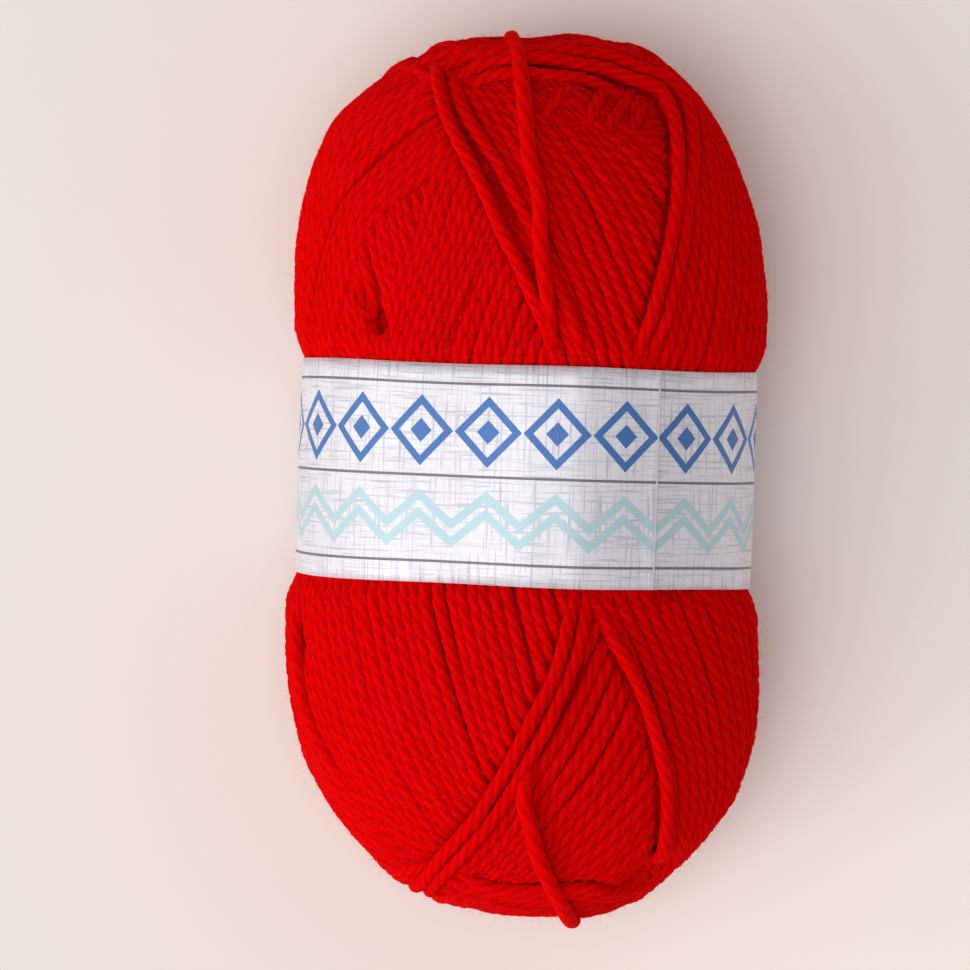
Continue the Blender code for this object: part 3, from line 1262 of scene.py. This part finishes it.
@dataclass
class LastTurns:
    """The turns laid last, and a few short lengths of older ones in the hollow at the upper end.

    The last turns cross the ends, and run along the lines where the two sets of turns part.
    """

    form: BallForm
    band: BandPlace
    sample: float = 0.0010
    ends: tuple[LaidLine, ...] = (
        LaidLine(21, (
            (-30.5, 58.0, 14.0, -4.0), (-27.9, 62.3, 15.7, -2.7), (-23.3, 66.4, 16.3, -1.6),
            (-18.1, 69.7, 17.1, -1.2), (-8.5, 71.8, 19.6, -1.0), (-0.2, 72.2, 20.0, -1.0),
            (9.8, 73.7, 13.5, -1.1), (19.1, 70.8, 10.4, -1.1), (25.5, 66.0, 11.0, -1.2),
            (28.5, 60.0, 14.0, -1.2), (29.6, 53.0, 17.5, -1.8), (29.6, 47.0, 19.5, -3.8),
        )),
        LaidLine(22, (
            (-27.5, 56.0, 20.5, -4.2), (-24.3, 59.8, 21.7, -2.9), (-17.9, 66.7, 20.8, -1.1),
            (-12.6, 70.1, 20.2, -0.9), (-4.3, 71.0, 21.4, -0.8), (5.5, 72.0, 18.2, -0.8),
            (11.2, 71.3, 15.2, -0.5), (16.9, 69.1, 13.5, 0.1), (21.6, 66.8, 12.5, 0.4),
            (24.5, 63.0, 14.5, 0.5), (25.7, 56.2, 20.2, 0.3), (25.3, 47.0, 25.5, 0.0),
            (24.7, 39.1, 27.8, -0.1), (23.0, 30.7, 29.6, -0.2), (21.1, 22.3, 30.6, -0.2),
            (20.2, 17.0, 31.0, -0.3),
        )),
        LaidLine(23, (
            (-16.6, 61.8, 25.4, -4.2), (-15.0, 64.6, 24.3, -2.4), (-11.6, 68.0, 22.9, -0.9),
            (-4.3, 69.9, 22.6, -0.6), (5.5, 69.9, 21.0, -0.6), (11.2, 68.9, 17.6, -0.2),
            (17.0, 66.4, 15.5, 0.6), (20.1, 64.3, 15.5, 1.0), (22.0, 60.6, 18.5, 0.9),
            (23.1, 56.0, 22.5, 0.5), (23.3, 49.1, 26.2, 0.2), (22.9, 42.4, 28.4, 0.1),
            (21.7, 35.6, 30.1, 0.1), (20.3, 29.0, 31.1, 0.0), (18.8, 23.3, 31.8, 0.0),
            (17.6, 17.0, 32.2, -0.1),
        )),
        LaidLine(24, (
            (-13.4, 62.0, 26.6, -4.0), (-11.7, 64.9, 25.2, -2.0), (-9.1, 66.6, 24.8, -1.0),
            (-5.0, 67.6, 24.6, -0.8), (3.3, 67.8, 24.2, -1.0), (12.5, 66.4, 18.9, -1.5),
            (19.3, 62.2, 16.7, -2.8),
        )),
        LaidLine(25, (
            (-15.0, -65.5, 22.5, -4.0), (-12.5, -67.5, 21.5, -2.2), (-8.5, -69.3, 21.3, -1.1),
            (-3.5, -70.2, 22.1, -1.0), (4.8, -70.2, 22.2, -1.0), (13.1, -69.8, 20.1, -1.0),
            (21.6, -68.5, 9.7, -1.1), (26.9, -65.0, 8.9, -1.5), (30.0, -60.9, 12.5, -3.8),
        )),
        LaidLine(26, (
            (-12.5, -64.0, 25.0, -4.0), (-10.0, -66.6, 24.0, -2.2), (-6.5, -68.4, 23.2, -1.0),
            (-1.9, -69.2, 23.3, -0.7), (5.6, -69.1, 23.2, -0.7), (13.1, -68.5, 21.6, -0.8),
            (19.8, -67.3, 12.7, -1.1), (23.9, -64.9, 12.0, -1.9), (26.5, -61.3, 17.7, -4.0),
        )),
    )
    borders: tuple[LaidLine, ...] = (
        LaidLine(41, (
            (-18.6, 70.5, 13.0, -3.4), (-18.1, 68.9, 17.8, -2.0), (-17.3, 66.4, 21.1, -0.6),
            (-16.5, 62.9, 24.4, 0.1), (-15.0, 58.9, 27.5, 0.3), (-12.9, 55.0, 30.1, 0.3),
            (-10.5, 50.7, 32.3, 0.3), (-7.8, 45.5, 34.1, 0.3), (-5.1, 39.8, 35.3, 0.2),
            (-2.3, 34.7, 35.8, 0.1), (-0.1, 29.9, 35.9, 0.0), (2.4, 24.7, 35.8, -0.1),
            (4.6, 19.5, 35.5, -0.2), (5.6, 17.0, 35.4, -0.3),
        )),
        LaidLine(42, (
            (-14.9, 66.8, 22.1, -2.4), (-14.2, 64.9, 24.1, -1.0), (-12.6, 60.7, 27.4, -0.5),
            (-9.6, 55.7, 30.7, -0.5), (-6.1, 50.7, 33.1, -0.5), (-3.1, 45.8, 34.5, -0.6),
            (-0.8, 41.8, 35.3, -0.7), (1.8, 36.8, 35.7, -0.8), (4.5, 31.2, 35.7, -0.8),
            (7.0, 25.5, 35.3, -0.9), (10.2, 17.0, 34.7, -1.0),
        )),
        LaidLine(43, (
            (9.6, -16.0, 34.5, -0.3), (9.0, -18.5, 34.7, -0.1), (7.9, -24.1, 35.2, 0.1),
            (6.0, -31.4, 35.6, 0.2), (4.5, -34.9, 35.7, 0.2), (2.5, -39.0, 35.6, 0.2),
            (0.5, -43.2, 35.1, 0.2), (-1.0, -46.5, 34.4, 0.2), (-3.0, -50.7, 33.2, 0.2),
            (-5.7, -55.8, 31.0, 0.2), (-8.8, -59.7, 28.4, 0.2), (-12.2, -64.1, 24.4, 0.0),
            (-14.9, -68.0, 18.5, -0.3), (-16.5, -70.0, 12.0, -1.2), (-17.5, -70.5, 4.0, -2.4),
            (-18.0, -70.0, -4.0, -4.2),
        )),
        LaidLine(44, (
            (12.2, -16.0, 34.0, -0.6), (11.5, -18.4, 34.2, -0.4), (10.2, -24.7, 34.7, -0.2),
            (8.5, -31.3, 35.2, -0.1), (6.5, -36.4, 35.4, 0.0), (4.5, -41.1, 35.2, 0.0),
            (2.4, -45.3, 34.7, 0.0), (0.7, -48.9, 33.9, 0.0), (-1.6, -53.0, 32.5, 0.0),
            (-3.8, -56.5, 30.9, 0.0), (-7.1, -61.2, 28.0, 0.0), (-10.0, -65.0, 24.6, -0.1),
            (-12.6, -68.5, 20.0, -0.6), (-14.0, -70.5, 14.0, -1.4), (-15.0, -71.5, 6.0, -2.8),
            (-15.5, -71.0, -2.0, -4.4),
        )),
        LaidLine(45, (
            (12.4, -16.0, 34.1, 0.2), (12.6, -18.6, 34.0, 0.6), (13.3, -21.0, 33.8, 0.7),
            (14.6, -23.8, 33.5, 0.6), (15.9, -26.8, 33.1, 0.5), (17.7, -29.9, 32.5, 0.4),
            (19.3, -33.0, 31.8, 0.4), (21.1, -37.1, 30.9, 0.4), (22.5, -40.9, 29.8, 0.4),
            (23.6, -44.7, 28.5, 0.4), (24.4, -48.6, 27.0, 0.4), (24.9, -52.5, 25.2, 0.3),
            (25.1, -56.3, 23.1, 0.2), (24.9, -59.8, 20.8, 0.1), (24.2, -63.2, 16.0, -0.7),
            (22.5, -66.2, 12.0, -2.2), (19.5, -68.5, 8.0, -3.4), (17.0, -69.0, 4.0, -4.0),
        )),
        LaidLine(46, (
            (-38.6, -16.5, 11.5, -1.3), (-38.5, -22.7, 11.9, -0.9), (-38.3, -28.8, 12.4, -0.7),
            (-37.7, -33.7, 13.0, -0.7), (-36.9, -38.7, 13.7, -0.7), (-35.3, -43.6, 14.8, -0.8),
            (-33.3, -47.6, 16.1, -1.0), (-30.9, -51.5, 17.2, -1.4), (-28.1, -55.4, 18.1, -2.2),
            (-25.5, -58.5, 19.0, -3.6),
        )),
    )
    below: tuple[LaidLine, ...] = (
        LaidLine(31, (
            (-1.0, 57.6, 31.0, -4.2), (0.6, 59.6, 29.8, -2.0), (3.6, 64.0, 26.9, -1.2),
            (6.4, 67.6, 23.4, -2.4),
        )),
        LaidLine(32, (
            (6.9, 57.2, 29.6, -4.2), (8.4, 59.9, 28.2, -1.8), (10.6, 64.6, 22.6, -1.1),
            (12.4, 67.4, 18.4, -2.2),
        )),
        LaidLine(33, (
            (10.2, 56.2, 28.9, -4.2), (11.7, 58.9, 27.4, -1.8), (14.2, 63.6, 20.1, -1.1),
            (16.4, 66.6, 15.8, -2.2),
        )),
        LaidLine(34, (
            (14.4, 55.8, 26.6, -4.2), (15.6, 58.4, 24.6, -1.9), (17.2, 61.8, 18.6, -1.3),
            (18.8, 64.2, 16.0, -2.4),
        )),
    )
    finish: AcrylicYarn = AcrylicYarn()

    def lay(self) -> tuple[Run, ...]:
        """Lays them all."""
        lines = self.ends + self.borders + self.below
        return tuple(line.run(self.form, self.band, self.sample) for line in lines)

    def build(self, section: np.ndarray, pitch: float) -> bpy.types.Object:
        """Makes all of them one piece, with the section and twist of the other turns."""
        piece = sweep("last_turns", list(self.lay()), section, pitch)
        return dress(piece, Finish.YARN, self.finish.make("last_turns_acrylic"))


@dataclass
class LooseTurns:
    """Two single slack turns over the front, laid last, which run on round the ball's ends."""

    form: BallForm
    band: BandPlace
    sample: float = 0.0009
    lines: tuple[LaidLine, ...] = (
        LaidLine(11, (
            (5.4, 14.4, 35.3, 0.3), (4.4, 18.9, 35.5, 0.3), (3.3, 24.4, 35.7, 0.5),
            (1.0, 38.1, 35.7, 0.7), (0.2, 45.9, 34.6, 0.8), (-1.2, 53.7, 32.5, 0.8),
            (-3.3, 67.2, 25.1, 0.6), (-4.7, 73.3, 18.1, -1.0), (-5.2, 75.5, 8.0, -2.4),
            (-5.4, 75.8, -2.0, -3.2), (-5.5, 73.0, -14.0, -4.6),
        ), radius=0.00138, sway=0.00022),
        LaidLine(12, (
            (2.9, -42.0, 35.3, -4.2), (2.4, -45.3, 34.7, -2.2), (1.8, -47.9, 34.1, -0.6),
            (1.4, -51.1, 33.3, 0.5), (1.6, -53.6, 32.5, 0.7), (2.7, -56.8, 31.2, 0.7),
            (4.5, -62.4, 28.3, 0.6), (6.4, -67.2, 24.8, 0.5), (8.9, -72.1, 18.9, 0.1),
            (10.4, -75.0, 10.0, -0.6), (10.8, -76.0, 2.0, -1.2), (11.0, -74.0, -10.0, -4.4),
        ), radius=0.00140, sway=0.00015),
    )
    # Less tightly twisted than the others, so the plies part less and turn more slowly.
    section: tuple[float, ...] = (0.93, 0.98, 1.0, 0.98) * 4
    pitch: float = 0.017
    # Its colours are a lighter copy of the yarn's: painted light on the slack turns, which lie on
    # top, with less painted shade in the grooves.
    finish: AcrylicYarn = AcrylicYarn(lit="e80103", streak="d80103", groove_shade="c40102")

    def build(self) -> bpy.types.Object:
        """Makes both slack turns one piece."""
        runs = [line.run(self.form, self.band, self.sample) for line in self.lines]
        piece = sweep("loose_turns", runs, np.array(self.section), self.pitch)
        return dress(piece, Finish.YARN, self.finish.make("loose_turns_acrylic"))


@dataclass
class InnerBall:
    """The older turns below, which show only as darkness between the outer ones."""

    form: BallForm
    band: BandPlace
    winding: Winding
    below: float = 0.0024
    end_below: float = 0.0042  # how much deeper it lies at the two ends, where more turns show
    end_run: tuple[float, float] = (0.006, 0.021)  # off the winding's axis
    under_paper: float = 0.0022
    over_floor: float = 0.0015
    finish: InnerTurns = InnerTurns()

    def build(self) -> bpy.types.Object:
        """Makes the inner ball from an icosphere drawn out onto the form."""
        made = bmesh.new()
        bmesh.ops.create_icosphere(made, subdivisions=6, radius=1.0)
        towards = unit(np.array([vert.co for vert in made.verts]))
        points = self.form.surface(towards)
        at_end = 1.0 - smooth(*self.end_run, self.winding.off_axis(points)[0])
        sunk = self.below + self.end_below * at_end
        points = points - self.form.normals(towards) * sunk[:, None]
        points = self.band.hold_in(points, np.full(len(points), self.under_paper))
        points[:, 2] = np.maximum(points[:, 2], self.over_floor - self.form.centre_height)
        points[:, 2] += self.form.centre_height
        move(made, points)
        piece = finished(made, "inner_ball")
        return dress(piece, Finish.YARN, self.finish.make("inner_turns_acrylic"))


@dataclass
class Fuzz:
    """Stray fibres that stand off the turns."""

    count: int = 9000
    thickness: float = 0.000016  # a real fibre's radius is 0.01 mm, too thin to show
    taper: tuple[float, ...] = (1.0, 0.9, 0.65, 0.15)
    length: tuple[float, float] = (0.0007, 0.0020)
    rise: tuple[float, float] = (0.25, 0.8)  # off the strand, against its run along it
    stray: float = 0.4  # to the side
    root_spread: float = 0.7  # radians round the strand
    root_depth: float = 0.9  # of the strand's radius
    bend: tuple[float, float] = (0.35, 0.6)  # how much it varies, and how far it tells
    on_top: float = 0.8  # only yarn that shows this much has fibres
    seed: int = 5
    finish: AcrylicYarn = AcrylicYarn(lit="e01210")

    def build(self, runs: list[Run], radius: float) -> bpy.types.Object:
        """Roots short bent fibres on the turns that show.

        Args:
            runs: The lengths of yarn they stand on.
            radius: Of that yarn.

        Returns:
            The piece, finished.
        """
        rng = np.random.default_rng(self.seed)
        points = np.concatenate([run.points for run in runs])
        outward = np.concatenate([run.outward for run in runs])
        shown = np.concatenate([run.shown for run in runs])
        ahead = np.concatenate([unit(np.gradient(run.points, axis=0)) for run in runs])
        varies, tells = self.bend
        steps = np.linspace(0.0, 1.0, len(self.taper))[:, None]
        radii = self.thickness * np.array(self.taper)
        fibres = []
        for at in rng.choice(np.flatnonzero(shown > self.on_top), self.count):
            along, up = ahead[at], outward[at]
            side = np.cross(up, along)
            turn = rng.normal() * self.root_spread
            away = math.cos(turn) * up + math.sin(turn) * side
            root = points[at] + away * radius * self.root_depth
            size = rng.uniform(*self.length)
            lean = away * rng.uniform(*self.rise) + along * rng.normal()
            lean = unit(lean + side * self.stray * rng.normal())
            bend = rng.normal(size=3) * varies
            line = root + size * (steps * lean + steps**2 * bend * tells)
            line[:, 2] = np.maximum(line[:, 2], 2 * self.thickness)
            fibres.append(Run(line, radii, steps[:, 0] * size, line, np.ones(len(line))))
        piece = sweep("fuzz", fibres, np.ones(3), 1.0)
        return dress(piece, Finish.YARN, self.finish.make("stray_fibre_acrylic"))


@dataclass
class PaperBand:
    """The ball band: one strip of coated paper round the waist, lapped and glued on the front."""

    form: BallForm
    place: BandPlace
    lap_edge: float = math.radians(36.6)  # from +Z towards +X
    lap: float = math.radians(20.0)
    lap_ramp: float = math.radians(14.0)
    lap_papers: float = 1.35  # how far the upper end stands off the lower one, in thicknesses
    edge_lift: float = 0.00025
    lift_run: float = math.radians(4.0)
    # The paper follows the turns below it a little, most of all at its two free edges. Share,
    # waves once round and start of each ripple.
    ripples: tuple[tuple[float, int, float], ...] = (
        (1.0, 9, 0.8), (0.7, 16, 2.1), (0.5, 31, 0.0),
    )
    ripple: float = 0.00006
    ripple_inside: float = 0.3
    edges_in: float = 0.00025  # how far its two long edges are drawn in
    edge_sway: float = 0.00012  # of the long edges along Y
    edge_waves: tuple[int, float] = (5, 0.4)  # waves once round, and their start
    cells_along: int = 420
    cells_across: int = 18
    finish: CoatedPaper = CoatedPaper()
    cut: CutPaper = CutPaper()

    def strip_length(self) -> float:
        """The length that the strip was cut to, in metres."""
        angles = np.linspace(self.lap_edge - FULL_TURN - self.lap, self.lap_edge, 2000)
        radii = self.place.radius(angles)
        return float(arc_along(np.stack([radii * np.sin(angles), radii * np.cos(angles)], 1))[-1])

    def wrap(self, along: np.ndarray, across: np.ndarray) -> np.ndarray:
        """Takes points of the flat strip to their place round the ball.

        Args:
            along: From 0 at the end on top to 1 at the end below.
            across: From -1 at the lower edge to 1 at the upper one.

        Returns:
            Points about the ball's centre.
        """
        past = along * (FULL_TURN + self.lap)
        angle = self.lap_edge - past
        stands_off = 1.0 - smooth(self.lap, self.lap + self.lap_ramp, past)
        lift = self.lap_papers * self.place.paper * stands_off
        lift += self.edge_lift * (1.0 - smooth(0.0, self.lift_run, past))
        waves = sum(share * np.sin(count * angle + start) for share, count, start in self.ripples)
        radius = self.place.radius(angle) + lift
        radius += self.ripple * waves * (self.ripple_inside + across**2)
        radius -= self.edges_in * across**4
        y = self.place.at + across * self.place.width / 2
        count, start = self.edge_waves
        y = y + self.edge_sway * across * np.sin(count * angle + start)
        return np.stack([radius * np.sin(angle), y, radius * np.cos(angle)], axis=1)

    def build(self) -> bpy.types.Object:
        """Makes the strip from a flat grid, wraps it, and gives the paper its thickness."""
        made = bmesh.new()
        bmesh.ops.create_grid(
            made, x_segments=self.cells_along, y_segments=self.cells_across, size=1.0
        )
        flat = np.array([vert.co for vert in made.verts])
        along, across = (flat[:, 0] + 1) / 2, flat[:, 1]
        points = self.wrap(along, across)
        points[:, 2] += self.form.centre_height
        move(made, points)
        bmesh.ops.recalc_face_normals(made, faces=made.faces[:])
        middle = made.faces[len(made.faces) // 2]
        centre = middle.calc_center_median()
        if middle.normal.dot(centre - Vector((0, centre.y, self.form.centre_height))) < 0:
            bmesh.ops.reverse_faces(made, faces=made.faces[:])
        piece = finished(made, "paper_ball_band")
        strip = (along * self.strip_length(), across * self.place.width / 2, 0.0 * along)
        write(piece.data, "strip_mm", np.stack(strip, axis=1) / MM)
        wall = piece.modifiers.new("paper_thickness", "SOLIDIFY")
        wall.thickness = self.place.paper
        wall.offset = -1.0
        wall.material_offset = 1
        wall.material_offset_rim = 1
        printed, cut = self.finish.make("satin_coated_paper"), self.cut.make("uncoated_paper_edge")
        return dress(piece, Finish.PAPER, printed, cut)


# ---------------------------------------------------------------- the studio


@dataclass(frozen=True)
class Studio:
    """The pale floor, the soft light and the camera of the photograph."""

    lens: float = 225.5
    sensor: float = 36.0
    stand: tuple[float, float, float] = (0.0, 0.020, 1.065)
    target: tuple[float, float, float] = (-0.0069, -0.0019, 0.035)
    roll: float = math.radians(2.0)
    clip_end: float = 50.0
    floor_half: float = 3.0
    # Name, side, power in watts and place of each soft light.
    lamps: tuple[tuple[str, float, float, tuple[float, float, float]], ...] = (
        ("soft_key_left", 1.8, 15.4, (-1.50, -1.30, 0.90)),
        ("soft_side_left", 1.8, 12.0, (-2.00, -0.30, 0.90)),
        ("overhead", 0.5, 3.8, (-0.10, -0.10, 1.30)),
        ("high_front_left", 1.4, 5.5, (-0.70, -0.80, 2.00)),
        ("high_left", 1.4, 2.8, (-0.90, -0.30, 2.00)),
    )
    lamps_aim: tuple[float, float, float] = (0.0, 0.0, 0.03)
    sky: str = "fffdfb"
    sky_strength: float = 0.384
    finish: StudioFloor = StudioFloor()

    def floor(self) -> bpy.types.Object:
        """A wide flat sheet under the ball."""
        made = bmesh.new()
        bmesh.ops.create_grid(made, x_segments=8, y_segments=8, size=self.floor_half)
        sheet = finished(made, "studio_floor")
        sheet.data.materials.append(self.finish.make("background_paper"))
        return sheet

    def camera(self) -> bpy.types.Object:
        """The camera, straight above and turned by the photograph's roll."""
        seen = bpy.data.cameras.new("camera")
        seen.lens = self.lens
        seen.sensor_width = self.sensor
        seen.clip_end = self.clip_end
        holder = put("camera", seen)
        stand = Vector(self.stand)
        back = (stand - Vector(self.target)).normalized()
        up = Vector((-math.sin(self.roll), math.cos(self.roll), 0.0))
        right = up.cross(back).normalized()
        up = back.cross(right)
        turn = Matrix((right, up, back)).transposed().to_4x4()
        holder.matrix_world = Matrix.Translation(stand) @ turn
        bpy.context.scene.camera = holder
        return holder

    def lamp(
        self, name: str, size: float, power: float, place: tuple[float, float, float]
    ) -> bpy.types.Object:
        """Adds a square soft light aimed at the ball.

        Args:
            name: The light's name.
            size: Its side.
            power: In watts.
            place: Where it stands.

        Returns:
            The light.
        """
        lamp = bpy.data.lights.new(name, "AREA")
        lamp.shape = "SQUARE"
        lamp.size = size
        lamp.energy = power
        holder = put(name, lamp)
        holder.location = place
        aim = Vector(self.lamps_aim) - Vector(place)
        holder.rotation_euler = aim.to_track_quat("-Z", "Y").to_euler()
        return holder

    def lights(self) -> list[bpy.types.Object]:
        """Wide soft lights from the left and above, and a weak even surround.

        Returns:
            The lights.
        """
        lit = [self.lamp(*settings) for settings in self.lamps]
        world = bpy.data.worlds.new("soft_surround")
        world.use_nodes = True
        sky = world.node_tree.nodes["Background"]
        sky.inputs["Color"].default_value = linear(self.sky)
        sky.inputs["Strength"].default_value = self.sky_strength
        bpy.context.scene.world = world
        return lit


def main() -> None:
    """Builds the studio and every piece, and logs each piece."""
    logging.basicConfig(level=logging.INFO, format="%(message)s")
    bpy.context.scene.view_settings.view_transform = "Standard"
    studio = Studio()
    studio.camera()
    studio.lights()
    studio.floor()

    form, band, winding = BallForm(), BandPlace(), Winding()
    last = LastTurns(form, band)
    yarn = WoundYarn(form, band, winding, last.lay())
    yarn.lay()
    turns = [yarn.build(half, side) for half in Half for side in Side]
    paper = PaperBand(form, band)
    pieces = [
        *turns,
        last.build(yarn.profile(), yarn.ply_pitch),
        LooseTurns(form, band).build(),
        InnerBall(form, band, winding).build(),
        Fuzz().build(yarn.runs, yarn.radius),
        paper.build(),
    ]
    round(paper.strip_length(), 4)
    for piece in pieces:
        log.info("%s: %d faces", piece.name, len(piece.data.polygons))


if __name__ == "__main__":
    main()
